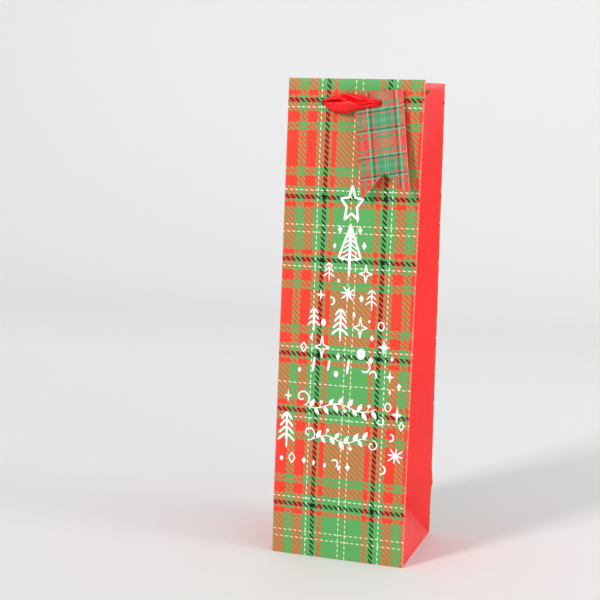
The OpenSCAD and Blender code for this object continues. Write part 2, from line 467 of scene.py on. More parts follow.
# The tag's smaller print has the same colours, with its fine lines drawn wider
TAG_SETT = [
    (0.0, "green"), (1.9, "cream"), (2.9, "green"), (GREEN_HALF, "red"), (18.6, "green"),
    (20.6, "black"), (24.0, "green"), (26.7, "white"), (28.1, "green"), (30.3, "red"),
    (38.6, "green"), (44.0, "red"),
]
PRINT = {
    "green": srgb(90, 168, 92),
    "red": srgb(240, 62, 44),
    "black": srgb(12, 15, 8),
    "cream": srgb(250, 242, 208),
    "white": srgb(255, 250, 240),
}
TAG_PRINT = {
    "green": srgb(50, 142, 94),
    "red": srgb(228, 50, 48),
    "black": srgb(6, 28, 26),
    "cream": srgb(176, 208, 168),
    "white": srgb(184, 212, 190),
}


def yarn(graph, distance, scale, inks, sett):
    """Colour of the yarn that crosses at a distance in millimetres from a green centre."""
    folded = graph.math("PINGPONG", graph.math("DIVIDE", distance, scale), SETT_HALF)
    share = graph.math("DIVIDE", folded, SETT_HALF)
    return graph.ramp(share, [(at / SETT_HALF, inks[ink]) for at, ink in sett], "CONSTANT")


def tartan(graph, across, down, inks, sett, scale_across=1.0, scale_down=1.0, twill=TWILL):
    """Tartan over two distances in millimetres, each from a green centre of the sett."""
    warp = yarn(graph, across, scale_across, inks, sett)
    weft = yarn(graph, down, scale_down, inks, sett)
    diagonal = graph.math("MULTIPLY", graph.math("SUBTRACT", across, down), 2 * math.pi / twill)
    over = graph.math("MULTIPLY_ADD", graph.math("SINE", diagonal), 1.1, 0.5)
    return graph.mix(graph.clamp(over, 0.05, 0.95), weft, warp)


def worn_and_highlit(graph, colour, vector):
    """Colour with the pale card core painted faintly where the fold attribute is high: wear on every fold,
    and on the front-right fold also a painted highlight.
    """
    fold = graph.node("ShaderNodeAttribute", output=2, attribute_name="fold")
    grain = graph.noise(vector, 900.0, 3.0, 0.6)
    patch = graph.math("MULTIPLY", fold, graph.math("MULTIPLY_ADD", grain, 1.6, -0.35))
    return graph.mix(graph.clamp(patch, 0.0, MOST_WEAR_AND_HIGHLIGHT), colour, CORE_AND_HIGHLIGHT)


def printed(graph, colour, vector, roughness=0.36, gleam=0.4):
    """Laminated print: faint mottling, film over the fibres and uneven gloss."""
    shade = graph.math("MULTIPLY_ADD", graph.noise(vector, 45.0, 3.0), 0.07, 0.965)
    tint = graph.node("ShaderNodeHueSaturation", {"Color": colour, "Value": shade})
    fibre = graph.noise(vector, 2600.0, 3.0, 0.7)
    gloss = graph.math("MULTIPLY_ADD", graph.noise(vector, 160.0, 2.0), 0.12, roughness - 0.06)
    graph.bump(fibre, 0.12, 0.00004)
    return graph.finish(tint, gloss, gleam)


CORE_AND_HIGHLIGHT = srgb(248, 226, 214)
MOST_WEAR_AND_HIGHLIGHT = 0.2  # largest share of the pale core painted over the print, as wear and painted highlight
WARP_CENTRE = 3.0  # x of the print's green centre
WEFT_CENTRE = 107.1  # its first green centre below the mouth
ASKEW = 0.0095  # how much the print climbs per millimetre to the right
SPLICE_AT = 218.2  # below this the print is moved up, and a little longer
SPLICE_BY = 4.0
LOWER_LENGTH = 0.985


def tartan_card():
    graph = Graph("tartan_card")
    vector, (x, _, z) = graph.place()
    across = graph.math("MULTIPLY_ADD", x, 1 / MM, -WARP_CENTRE)
    depth = graph.math("MULTIPLY_ADD", z, -1 / MM, BAG_H)
    below = graph.math("MAXIMUM", graph.math("SUBTRACT", depth, SPLICE_AT), 0.0)
    step = graph.math("MULTIPLY", graph.math("GREATER_THAN", below, 0.0), SPLICE_BY)
    moved = graph.math("MULTIPLY_ADD", below, LOWER_LENGTH - 1, graph.math("ADD", depth, step))
    climb = graph.math("MULTIPLY_ADD", x, ASKEW / MM, -WEFT_CENTRE)
    colour = tartan(graph, across, graph.math("ADD", moved, climb), PRINT, SETT)
    return printed(graph, worn_and_highlit(graph, colour, vector), vector, gleam=0.24)


def base_card():
    """Card of the base flaps: print underneath, bare card on top."""
    graph = Graph("base_card")
    vector, (x, y, _) = graph.place()
    across = graph.math("MULTIPLY_ADD", x, 1 / MM, -WARP_CENTRE)
    lower = BAG_H + (BAG_H - SPLICE_AT) * (LOWER_LENGTH - 1) + SPLICE_BY
    down = graph.math("MULTIPLY_ADD", y, 1 / MM, lower + HALF_D - WEFT_CENTRE)
    colour = tartan(graph, across, down, PRINT, SETT)
    facing = graph.parts(graph.node("ShaderNodeNewGeometry", output=3))
    under = graph.math("LESS_THAN", facing[2], -0.5)
    fibre = graph.noise(vector, 700.0, 4.0, 0.65)
    bare = graph.ramp(fibre, [(0.3, srgb(222, 220, 214)), (0.75, srgb(244, 243, 238))])
    graph.bump(fibre, 0.3, 0.00005)
    return graph.finish(graph.mix(under, bare, colour), 0.6)


def red_card():
    graph = Graph("red_card")
    vector, _ = graph.place()
    wash = graph.noise(vector, 14.0, 3.0)
    colour = graph.ramp(wash, [(0.3, srgb(232, 20, 17)), (0.7, srgb(250, 37, 31))])
    return printed(graph, worn_and_highlit(graph, colour, vector), vector)


def paper(name, dark, light, scale, roughness, depth):
    """Uncoated paper or board with visible fibres."""
    graph = Graph(name)
    vector, _ = graph.place()
    fibre = graph.noise(vector, scale, 5.0, 0.65)
    flecks = graph.math("GREATER_THAN", graph.noise(vector, scale * 1.7, 2.0), 0.72)
    base = graph.ramp(fibre, [(0.3, dark), (0.75, light)])
    graph.bump(fibre, 0.35, depth)
    return graph.finish(graph.mix(graph.math("MULTIPLY", flecks, 0.25), base, dark), roughness)


def white_print():
    graph = Graph("white_print")
    grain = graph.noise(graph.place()[0], 500.0, 3.0)
    colour = graph.ramp(grain, [(0.3, srgb(250, 244, 240)), (0.7, srgb(255, 252, 250))])
    graph.bump(grain, 0.1, 0.00003)
    return graph.finish(colour, 0.4)


def satin():
    graph = Graph("satin")
    vector, _ = graph.place()
    drift = graph.noise(vector, 120.0, 2.0)
    colour = graph.ramp(drift, [(0.3, srgb(222, 2, 8)), (0.7, srgb(240, 6, 12))])
    inputs = {"Vector": vector, "Scale": 1500.0, "Distortion": 1.5, "Detail": 2.0}
    bands = {"wave_type": "BANDS", "bands_direction": "DIAGONAL"}
    graph.bump(graph.node("ShaderNodeTexWave", inputs, 1, **bands), 0.12, 0.00003)
    graph.shader.inputs["Anisotropic"].default_value = 0.4
    return graph.finish(colour, 0.42, 0.4)


TAG_TURN = 2.0  # slant of the tag's cross lines
TAG_LEAN = 0.4  # and of its upright ones
TAG_CENTRE = 2.1  # x of its green centre
TAG_FIRST = 20.0  # first green centre below the tag's top edge
TAG_TOP = 8.3  # card above the tag's hole
TAG_ACROSS = 0.40  # size of its sett beside the walls' one
TAG_DOWN = 0.285
TAG_TWILL = 1.8


def tag_card():
    graph = Graph("tag_card")
    vector, (x, _, z) = graph.place()
    x_mm = graph.math("MULTIPLY_ADD", x, 1 / MM, -TAG_CENTRE)
    z_mm = graph.math("MULTIPLY_ADD", z, -1 / MM, TAG_TOP - TAG_FIRST)

    def slanted(x_share, z_share):
        over = graph.math("MULTIPLY", x_mm, x_share)
        return graph.math("ADD", over, graph.math("MULTIPLY", z_mm, z_share))

    lean, turn = math.radians(TAG_LEAN), math.radians(TAG_TURN)
    across = slanted(math.cos(lean), -math.sin(lean))
    down = slanted(math.sin(turn), math.cos(turn))
    colour = tartan(graph, across, down, TAG_PRINT, TAG_SETT, TAG_ACROSS, TAG_DOWN, TAG_TWILL)
    return printed(graph, colour, vector, 0.42, 0.3)


TARTAN_CARD = tartan_card()
RED_CARD = red_card()
INNER_CARD = paper("inner_card", srgb(226, 224, 218), srgb(246, 245, 240), 700.0, 0.75, 0.00005)
CARD_EDGE = paper("card_edge", srgb(232, 222, 214), srgb(250, 246, 240), 1500.0, 0.8, 0.00004)
GREY_BOARD = paper("grey_board", srgb(150, 146, 138), srgb(196, 190, 180), 420.0, 0.9, 0.00012)
WHITE_PRINT = white_print()
SATIN = satin()
TAG_CARD = tag_card()
BASE_CARD = base_card()


# ---------------- bag of card
def store_fold_wear_and_highlight(obj):
    """Stores each point's wear and painted highlight: high on the outer few tenths of the four upright
    folds.
    """
    x, y, z = np.array([v.co for v in obj.data.vertices]).T / MM
    edge = np.hypot(np.abs(x) - HALF_W, np.abs(y) - wall_y(z))
    # The front-right fold gets nearly three times the strength of the others: its wear plus a painted
    # highlight.
    rubbed_and_lit = np.where((x > 0) & (y < 0), 1.0, 0.35)
    wear_and_highlight = rubbed_and_lit * np.clip(1.2 - edge / 0.4, 0, 1)
    attribute = obj.data.attributes.new("fold", "FLOAT", "POINT")
    attribute.data.foreach_set("value", wear_and_highlight.astype(np.float32))


VENT_Z = BAG_H - 7.0
VENT_SHARE = 16.5 / HALF_D
VENT = (
    (HALF_W - fold_in(VENT_Z) * VENT_SHARE, wall_y(VENT_Z) * (1 - VENT_SHARE), VENT_Z),
    (wall_y(VENT_Z), -fold_in(VENT_Z), 0),
    2.1,
    8,
)


def punch_wall(obj, side):
    """Both ribbon holes of a wall."""
    y = -side * wall_y(HOLE_Z)
    punch(obj, *[((x, y, HOLE_Z), (0, 1, 0), HOLE_R, 9) for x in (-HOLE_X, HOLE_X)])


def shell_piece(name, part, material, slot, *nodes):
    """One lofted panel of the bag, as printed card."""
    obj = grid_object(name, lofted(part, SHELL_ROWS), [material, INNER_CARD, CARD_EDGE])
    thicken(obj, CARD_T, inner=1, rim=0)
    if part in ("front", "back"):
        punch_wall(obj, FRONT if part == "front" else BACK)
    if part == "right":
        punch(obj, VENT)
    store_fold_wear_and_highlight(obj)
    belong(obj, "root", slot, *nodes)


SHELL_ROWS = base_rows() + climb_rows(BAG_H - CARD_T) + mouth_rows()
for side in ("front", "back"):
    shell_piece(side + "_wall", side, TARTAN_CARD, "tartan_card", side + "_panel")
for side in ("right", "left"):
    faces = [f"{side}_gusset_{face}" for face in ("front", "back", "foot")]
    shell_piece(side + "_gusset", side, RED_CARD, "red_card", *faces)


# ---------------- turned edges and flap
HEM_IN = 1.6  # depth of a wall's turned edge under its face
GUSSET_HEM_IN = 0.84


def wall_point(side, x, z, depth=0.0):
    """Point under a wall's face; x runs to the right as seen from outside that wall."""
    y = depth - wall_y(z) - wall_bow(x, z, WALL_SEED[side])
    return np.array([side * x, side * y, z])


def wall_patch(name, side, left, right, rows, material, thickness, slot, node):
    """Sheet that follows a wall; rows are (height, depth under the wall's face)."""
    xs = np.linspace(left, right, max(4, int((right - left) / 3)))
    grid = [[wall_point(side, x, z, depth) for x in xs] for z, depth in rows]
    obj = grid_object(name, grid, [material, INNER_CARD, CARD_EDGE])
    thicken(obj, thickness, inner=0 if material in (INNER_CARD, GREY_BOARD) else 1, rim=2)
    belong(obj, "root", slot, node)
    return obj


def turned_rows(start, end, foot):
    """Rows of an edge that is turned over from depth start to depth end, down to foot."""
    radius = (end - start) / 2
    middle = (start + end) / 2
    turn = [math.radians(a) for a in range(0, 181, 20)]
    rows = [(BAG_H - radius - 1.0, start)]
    rows += [(BAG_H - radius * (1 - math.sin(a)), middle - radius * math.cos(a)) for a in turn]
    rows += [(z, end) for z in np.linspace(BAG_H - radius, foot, 9)[1:]]
    return rows


GLUE = 0.03  # gap between a wall and its turned edge
LOOSE = 0.05  # added to the depth of the boards and the flap, so that no faces coincide
BOARD_T = 0.8
HEM_HALF_W = HALF_W - 2.2
FLAP_W = 12.0
for side, name in ((FRONT, "front"), (BACK, "back")):
    rows = turned_rows(CARD_T + GLUE, HEM_IN, HEM_Z)
    ends = -HEM_HALF_W, HEM_HALF_W
    slot = "turned_edge"
    node = f"{name}_hem"
    edge = wall_patch(f"{name}_turned_edge", side, *ends, rows, TARTAN_CARD, CARD_T, slot, node)
    punch_wall(edge, side)
    rows = [(z, CARD_T + LOOSE) for z in np.linspace(HEM_Z + 4, BAG_H - 0.8, 12)]
    ends = 1 - HEM_HALF_W, HEM_HALF_W - 1
    slot = "grey_board"
    node = f"{name}_stiffener"
    strip = wall_patch(f"{name}_board_strip", side, *ends, rows, GREY_BOARD, BOARD_T, slot, node)
    punch_wall(strip, side)
rows = [(z, 2 * CARD_T + LOOSE) for z in np.linspace(HEM_Z - 1, 4, 60)]
ends = 1 - HEM_HALF_W, 1 - HEM_HALF_W + FLAP_W
wall_patch("glued_flap", BACK, *ends, rows, INNER_CARD, CARD_T, "inner_card", "side_seam_flap")
for side in ("right", "left"):
    rows = [(z, 0, depth) for z, depth in turned_rows(CARD_T + GLUE, GUSSET_HEM_IN, HEM_Z)]
    grid = lofted(side, rows)[:, 1:-1]
    edge = grid_object(side + "_gusset_turned_edge", grid, [RED_CARD, INNER_CARD, CARD_EDGE])
    thicken(edge, CARD_T * 0.9, inner=1, rim=2)
    if side == "right":
        punch(edge, VENT)
    belong(edge, "root", "turned_edge", side + "_hem_front", side + "_hem_back")


# ---------------- white print on the front
INK_T = 0.05
LEAF_STEP = 3.4


class Ink:
    """Thin closed prisms on the front wall, from outlines given as (right, down) from its corner."""

    def __init__(self):
        self.points = []
        self.faces = []
        self.count = 0

    def lift(self, place, depth):
        return wall_point(FRONT, place[0] - HALF_W, BAG_H - place[1], depth)

    def prism(self, outline, quads):
        """Prism over an outline of places, with the faces of its top."""
        first = len(self.points)
        n = len(outline)
        self.count += 1
        top = -INK_T - 0.002 * (self.count % 9)
        self.points += [self.lift(p, top) for p in outline]
        self.points += [self.lift(p, 0.06) for p in outline]
        self.faces += [tuple(first + i for i in face) for face in quads]
        self.faces += [tuple(first + n + i for i in reversed(face)) for face in quads]
        edges = {}
        for face in quads:
            for a, b in zip(face, face[1:] + face[:1]):
                edges[(a, b)] = edges.get((a, b), 0) + 1
        for a, b in edges:
            if (b, a) not in edges:
                self.faces.append((first + b, first + a, first + n + a, first + n + b))

    def stroke(self, path, width, taper=0.35, closed=False):
        """Line along a path; its ends narrow to a share of the width."""
        path = resample(np.array(path, float), closed)
        count = len(path)
        if closed:
            along = np.roll(path, -1, 0) - np.roll(path, 1, 0)
            size = np.full(count, width)
        else:
            along = np.gradient(path, axis=0)
            t = np.linspace(0, 1, count)
            size = width * (taper + (1 - taper) * np.sqrt(np.clip(1 - (2 * t - 1) ** 4, 0, 1)))
        across = unit_rows(np.stack([-along[:, 1], along[:, 0]], 1))
        left = path + across * size[:, None] / 2
        right = path - across * size[:, None] / 2
        steps = count if closed else count - 1
        quads = [(i, (i + 1) % count, count + (i + 1) % count, count + i) for i in range(steps)]
        self.prism(np.vstack([left, right]), quads)

    def blob(self, outline):
        """Filled outline round its middle."""
        outline = np.array(outline, float)
        middle = outline.mean(0)
        rings = [outline, middle + (outline - middle) * 0.5, middle[None]]
        n = len(outline)
        faces = []
        for i in range(n):
            j = (i + 1) % n
            faces.append((j, i, n + i, n + j))
            faces.append((n + j, n + i, 2 * n))
        self.prism(np.vstack(rings), faces)


def resample(path, closed, step=0.9):
    """Points about one step apart along a path, keeping its corners."""
    ends = np.vstack([path, path[:1]]) if closed else path
    out = []
    for a, b in zip(ends[:-1], ends[1:]):
        count = max(1, int(round(np.linalg.norm(b - a) / step)))
        out += [a + (b - a) * i / count for i in range(count)]
    if not closed:
        out.append(ends[-1])
    return np.array(out)


def arc(x, y, rx, ry, start, end, count=14):
    """Points on an ellipse; angles in degrees, clockwise from the right."""
    angles = np.radians(np.linspace(start, end, count))
    return np.stack([x + rx * np.cos(angles), y + ry * np.sin(angles)], 1)


def curve(*points, count=24):
    """Smooth line through a few points."""
    points = np.array(points, float)
    knots = np.linspace(0, len(points) - 1, count)
    return np.stack([catmull(knots, points[:, i]) for i in range(points.shape[1])], 1)


def catmull(at, values):
    """Smooth curve through values at 0, 1, 2 and so on."""
    values = np.asarray(values, float)
    padded = np.concatenate([[2 * values[0] - values[1]], values, [2 * values[-1] - values[-2]]])
    index = np.clip(np.floor(at).astype(int), 0, len(values) - 2)
    t = at - index
    a, b, c, d = (padded[index + i] for i in range(4))
    return 0.5 * (2 * b + (c - a) * t + (2 * a - 5 * b + 4 * c - d) * t**2 + (3 * b - a - 3 * c + d) * t**3)


def star(ink, x, y, half_w, half_h):
    """Hand-drawn outline of a star of five points."""
    angles = np.radians(-90 + 36 * np.arange(10))
    reach = np.where(np.arange(10) % 2, 0.46, 1.0)
    places = [x + half_w * reach * np.cos(angles), y + half_h * reach * np.sin(angles)]
    ink.stroke(np.stack(places, 1), 1.7, closed=True)


def striped_fir(ink, x, top, bottom, half_w, trunk_end):
    """Tall fir: an outline filled with slanting stripes, on a trunk."""
    for reach in (-half_w, half_w):
        ink.stroke([(x, top), (x + reach, bottom - 2), (x + reach * 0.55, bottom)], 1.6)
    ink.stroke([(x - half_w, bottom - 1.6), (x, bottom - 0.4), (x + half_w, bottom - 1.6)], 1.3)
    ink.stroke([(x, top - 0.5), (x, trunk_end)], 2.1, 0.2)
    for level in range(5):
        y = top + 8.5 + level * 3.6
        reach = half_w * (y - top) / (bottom - top)
        for side in (-1, 1):
            ink.stroke([(x, y - 2.6), (x + side * reach * 0.92, y + 1.2)], 1.0)


def small_fir(ink, x, top, height, half_w, width):
    """Fir of a trunk with a few pairs of falling branches."""
    ink.stroke([(x, top), (x + 0.4, top + height)], width * 0.8, 0.3)
    levels = 3 if height < 20 else 4
    for level in range(levels):
        y = top + 0.4 + height * 0.78 * level / levels
        reach = half_w * (0.5 + 0.5 * (level + 1) / levels)
        for side in (-1, 1):
            path = curve((x, y), (x + side * reach * 0.45, y + height * 0.07),
                         (x + side * reach, y + height * 0.2), count=7)
            ink.stroke(path, width * 0.85, 0.25)


def mark(ink, places, width, filled):
    """Closed shape, filled or drawn as an outline."""
    if filled:
        ink.blob(places)
    else:
        ink.stroke(places, width, closed=True)


def sparkle(ink, x, y, half_w, half_h, filled):
    """Four-pointed sparkle with hollow sides."""
    places = []
    for quarter in range(4):
        angle = math.radians(-90 + 90 * quarter)
        middle = angle + math.radians(45)
        places.append((x + half_w * math.cos(angle), y + half_h * math.sin(angle)))
        for step in (-22, 0, 22):
            reach = 0.3 if step == 0 else 0.3 * 1.35
            turn = middle + math.radians(step)
            places.append((x + half_w * reach * math.cos(turn), y + half_h * reach * math.sin(turn)))
    mark(ink, places, 1.0, filled)


def snowflake(ink, x, y, radius):
    for k in range(4):
        angle = math.radians(45 * k + 8)
        reach = radius * (1.0 if k % 2 else 0.85)
        step = np.array([math.cos(angle), math.sin(angle)]) * reach
        ink.stroke([np.array([x, y]) - step, np.array([x, y]) + step], 1.25, 0.25)


def diamond(ink, x, y, half_w, half_h, filled=True):
    places = [(x, y - half_h), (x + half_w, y), (x, y + half_h), (x - half_w, y)]
    if filled:
        places = resample(np.array(places, float), True, 1.2)
    mark(ink, places, 0.9, filled)


def dot(ink, x, y, rx, ry, filled=True):
    mark(ink, arc(x, y, rx, ry, 0, 360, 17)[:-1], 0.95, filled)


def crescent(ink, x, y, radius, turn):
    ink.stroke(arc(x, y, radius, radius * 1.15, turn, turn + 215), 1.3, 0.25)


def sprig(ink, x0, x1, y, wave, lean):
    """Garland of small leaves and berries along a waving stem."""
    count = int((x1 - x0) / LEAF_STEP)
    span = np.linspace(0, 1, 60)
    stem = np.stack([x0 + (x1 - x0) * span, y + wave * np.sin(span * math.pi * 3 + lean)], 1)
    ink.stroke(stem, 0.75)
    for k in range(1, count):
        share = k / count
        x = x0 + (x1 - x0) * share
        base = y + wave * math.sin(share * math.pi * 3 + lean)
        side = -1 if k % 2 else 1
        if k % 5 == 3:
            ink.stroke([(x, base), (x + 1.2, base + side * 3.2)], 0.6)
            dot(ink, x + 1.4, base + side * 4.2, 1.25, 1.3)
            continue
        tip = np.array([x + 3.4, base + side * (5.6 + 0.8 * math.sin(k * 2.3))])
        root = np.array([x, base])
        out = tip - root
        aside = np.array([-out[1], out[0]]) * 0.24
        profile = [(0.25, 0.85), (0.55, 1), (0.85, 0.45), (1, 0), (0.85, -0.45), (0.55, -1), (0.25, -0.85)]
        ink.blob([root] + [root + out * reach + aside * share for reach, share in profile])


def curl(ink, x, y, radius, turns, start, way, width):
    """Spiral flourish."""
    t = np.linspace(0, 1, 34)
    angles = math.radians(start) + way * t * turns * 2 * math.pi
    reach = radius * (1 - 0.8 * t)
    ink.stroke(np.stack([x + reach * np.cos(angles), y + reach * np.sin(angles)], 1), width)


def draw_front(ink):
    """The whole print, tree-like from its star down to the row of small marks."""
    star(ink, 51, 89, 8.6, 13.5)
    striped_fir(ink, 51, 103.5, 129, 8.2, 141)
    for x, top, height, half_w, width in (
        (36, 131, 14, 4.2, 1.2), (68.5, 149, 15, 4.4, 1.2), (26, 165, 17, 4.8, 1.5),
        (46, 164, 24, 6.2, 1.9), (8, 243, 27, 6.6, 2.0),
    ):
        small_fir(ink, x, top, height, half_w, width)
    for x, y, w, h, filled in (
        (63.5, 138, 4.8, 6.6, False), (61, 177, 5.4, 7.6, False), (33, 193, 5.6, 8.0, False),
        (30.5, 155, 3.6, 4.6, True), (79, 190, 4.8, 6.2, True), (84.5, 211, 3.4, 5.0, True),
        (8.5, 231, 3.2, 5.0, True), (91, 238, 4.2, 6.6, True),
    ):
        sparkle(ink, x, y, w, h, filled)
    snowflake(ink, 51, 153, 6.4)
    snowflake(ink, 91, 268, 6.6)
    for x, y, w, h in (
        (43, 107, 1.8, 2.7), (58, 107, 1.7, 2.5), (39.5, 119, 1.3, 2.2), (61.5, 118, 1.7, 3.0),
        (43.5, 144, 1.3, 1.7), (61, 156, 1.8, 2.8), (56, 168, 1.2, 2.6), (70, 184, 1.5, 2.4),
        (45.5, 199, 1.6, 2.8), (67.5, 172, 1.1, 1.3), (91.5, 217.5, 1.7, 2.5), (85, 222, 1.0, 2.2),
        (85.5, 198, 1.2, 2.0), (70, 200, 2.0, 2.8), (22.5, 278, 1.8, 2.5), (56, 280, 1.9, 2.7),
    ):
        diamond(ink, x, y, w, h)
    diamond(ink, 19, 194, 2.4, 3.6, filled=False)
    diamond(ink, 13, 277, 2.4, 4.0, filled=False)
    diamond(ink, 94.5, 246, 1.8, 3.2, filled=False)
    for x, y, w, h in (
        (33.5, 175, 1.8, 2.6), (44.5, 212, 1.7, 2.3), (16.5, 211, 1.2, 1.7), (5, 278, 1.3, 1.8),
        (30, 279, 0.9, 2.0), (38.5, 280, 1.2, 1.8), (49.5, 281, 1.2, 1.6), (62.5, 196, 3.2, 4.0),
    ):
        dot(ink, x, y, w, h)
    dot(ink, 76.5, 175, 2.2, 3.0, filled=False)
    dot(ink, 84, 233, 2.2, 3.0, filled=False)
    for x, y, radius, turn in (
        (38.5, 159, 2.3, -120), (46, 278, 2.4, -150), (72, 211, 2.6, -170),
        (87, 255, 2.2, -100), (81.5, 279, 2.6, -90), (66, 205, 3.4, -80),
    ):
        crescent(ink, x, y, radius, turn)
    for x, y, length in ((27, 206, 11), (38.5, 206, 8), (53, 206, 11), (24.5, 186, 4)):
        ink.stroke([(x + 0.8, y - length / 2), (x - 0.4, y + length / 2)], 1.7, 0.3)
    sprig(ink, 22, 76, 236, 2.2, 0.4)
    sprig(ink, 28, 70, 260, 2.0, 2.2)
    for x, y, radius, turns, start, way, width in (
        (19.5, 231, 6.2, 1.1, 80, -1, 1.1), (25.5, 257, 5.6, 1.1, 100, -1, 1.0),
        (78.5, 244, 3.6, 1.0, -90, 1, 0.9), (73.5, 262, 4.4, 1.1, -90, 1, 0.9),
    ):
        curl(ink, x, y, radius, turns, start, way, width)


ink = Ink()
draw_front(ink)
white_marks = new_object("white_marks", ink.points, ink.faces, [WHITE_PRINT], smooth_shade=False)
belong(white_marks, "root", "tartan_card")


# ---------------- satin ribbon
RIBBON_W = 20.0
RIBBON_T = 0.22
GATHERED_W = 4.6


def pleat_depth(width, folds=8):
    """Height of the small pleats that take up the ribbon's full width within a narrower one."""
    return math.sqrt(max(0.0, RIBBON_W**2 - width**2)) / folds


def strip_object(name, grid):
    obj = grid_object(name, grid, [SATIN])
    thicken(obj, RIBBON_T)
    return obj


def gathered_strip(name, path, across, width, seed, columns=49, crumple=0.12):
    """Ribbon gathered into narrow pleats along a path; across is the direction of its width."""
    path = np.array(path, float)
    across = np.array(across, float)
    if across.ndim == 1:
        across = np.tile(across, (len(path), 1))
    along = unit_rows(np.gradient(path, axis=0))
    across = unit_rows(across - along * np.sum(across * along, axis=1)[:, None])
    out = np.cross(along, across)
    v = np.linspace(-1, 1, columns)
    travel = np.concatenate([[0], np.cumsum(np.linalg.norm(np.diff(path, axis=0), axis=1))])
    widths = np.broadcast_to(width, len(path)).astype(float)
    grid = []
    for i, place in enumerate(path):
        depth = pleat_depth(widths[i]) / 2
        sway = 0.5 * ripple(np.full(1, travel[i]), np.zeros(1), seed, size=26.0)[0]
        wave = np.cos(v * math.pi * 4 + sway)
        fold = depth * wave * (1 - 0.35 * v**2)
        fold = fold + crumple * ripple(v * 6, np.full(columns, travel[i]), seed + 1, size=14.0)
        half = widths[i] / 2 * (1 + 0.05 * np.sin(travel[i] / 5 + seed))
        grid.append(place + across[i] * (half * v)[:, None] + out[i] * fold[:, None])
    return strip_object(name, grid)


# Stations of the front ribbon: x, out from the wall, height above and below the line of the
# holes, swell, depth and place of its long valley, depth and place of its cross fold, pleats
FRONT_STATIONS = (
    (-22.9, -3.0, 1.7, 1.8, 0.0, 0.0, 0.1, 0.0, 0.6, 1.0),
    (-22.8, -1.2, 1.7, 1.8, 0.0, 0.0, 0.1, 0.0, 0.6, 0.9),
    (-22.6, 0.2, 1.2, 1.6, 0.2, 0.2, 0.1, 0.0, 0.6, 0.4),
    (-21.9, 0.9, 1.5, 2.2, 0.8, 0.8, 0.12, 0.0, 0.6, 0.25),
    (-20.6, 1.1, 3.1, 3.8, 2.7, 1.0, 0.16, 0.0, 0.6, 0.12),
    (-17.2, 0.9, 4.3, 5.8, 4.2, 1.05, 0.2, 0.0, 0.6, 0.03),
    (-13.2, 0.8, 5.4, 7.3, 5.2, 1.0, 0.2, 0.15, 0.66, 0.0),
    (-9.5, 1.6, 6.3, 7.8, 4.9, 0.85, 0.2, 0.45, 0.62, 0.0),
    (-5.8, 3.2, 6.5, 7.6, 4.3, 0.45, 0.2, 0.95, 0.58, 0.0),
    (-2.2, 4.3, 6.4, 6.5, 3.9, 0.1, 0.3, 1.0, 0.45, 0.0),
    (1.5, 4.6, 5.8, 5.3, 3.5, 0.0, 0.4, 0.8, 0.25, 0.03),
    (5.2, 4.6, 5.1, 4.4, 3.1, 0.5, -0.5, 0.6, 0.1, 0.08),
    (8.9, 4.4, 4.3, 3.3, 2.5, 0.7, -0.4, 0.5, 0.3, 0.14),
    (12.5, 4.3, 3.3, 2.8, 1.8, 0.7, -0.15, 0.6, 0.5, 0.25),
    (16.0, 4.1, 2.4, 2.4, 1.1, 0.4, 0.0, 0.4, 0.5, 0.5),
    (19.2, 3.6, 1.4, 1.6, 0.4, 0.0, 0.0, 0.0, 0.5, 0.7),
    (20.1, 2.6, 1.3, 1.5, 0.0, 0.0, 0.0, 0.0, 0.5, 0.8),
    (20.1, 1.4, 1.3, 1.5, 0.0, 0.0, 0.0, 0.0, 0.5, 0.8),
)
BACK_STATIONS = (
    (-23.2, -3.0, 1.8, 1.8, 0.0, 0.0, 0.1, 0.0, 0.6, 1.15),
    (-23.2, -1.2, 1.8, 1.8, 0.0, 0.0, 0.1, 0.0, 0.6, 1.15),
    (-23.1, 0.3, 1.8, 1.8, 0.2, 0.2, 0.1, 0.0, 0.6, 1.0),
    (-22.0, 0.9, 2.1, 2.6, 0.8, 0.6, 0.1, 0.0, 0.6, 0.5),
    (-18.5, 0.9, 4.0, 4.4, 2.2, 0.8, 0.1, 0.0, 0.6, 0.15),
    (-11.0, 0.8, 6.4, 6.8, 3.2, 0.6, 0.0, 0.1, 0.6, 0.0),
    (-2.0, 0.8, 7.4, 7.3, 3.4, 0.3, -0.2, 0.3, 0.5, 0.0),
    (7.0, 0.8, 6.9, 7.0, 3.3, 0.5, -0.1, 0.4, 0.4, 0.0),
    (15.0, 0.9, 5.0, 5.2, 2.7, 0.8, 0.0, 0.2, 0.5, 0.08),
    (20.5, 1.0, 3.0, 3.3, 1.6, 0.8, 0.0, 0.0, 0.5, 0.3),
    (22.4, 1.0, 2.0, 2.3, 0.6, 0.4, 0.0, 0.0, 0.5, 0.7),
    (23.1, 0.2, 1.8, 1.8, 0.2, 0.0, 0.0, 0.0, 0.5, 1.0),
    (23.2, -1.2, 1.8, 1.8, 0.0, 0.0, 0.0, 0.0, 0.5, 1.15),
    (23.2, -3.0, 1.8, 1.8, 0.0, 0.0, 0.0, 0.0, 0.5, 1.15),
)


def on_wall(side, points):
    """Points of (x, out, up) round the line of a wall's holes, carried to the row frame."""
    x, out, up = np.moveaxis(np.asarray(points, float), -1, 0)
    cosine, sine = math.cos(LEAN), math.sin(LEAN)
    y = -wall_y(HOLE_Z) - out * cosine + up * sine
    z = HOLE_Z + out * sine + up * cosine
    return np.stack([side * x, side * y, z], -1)


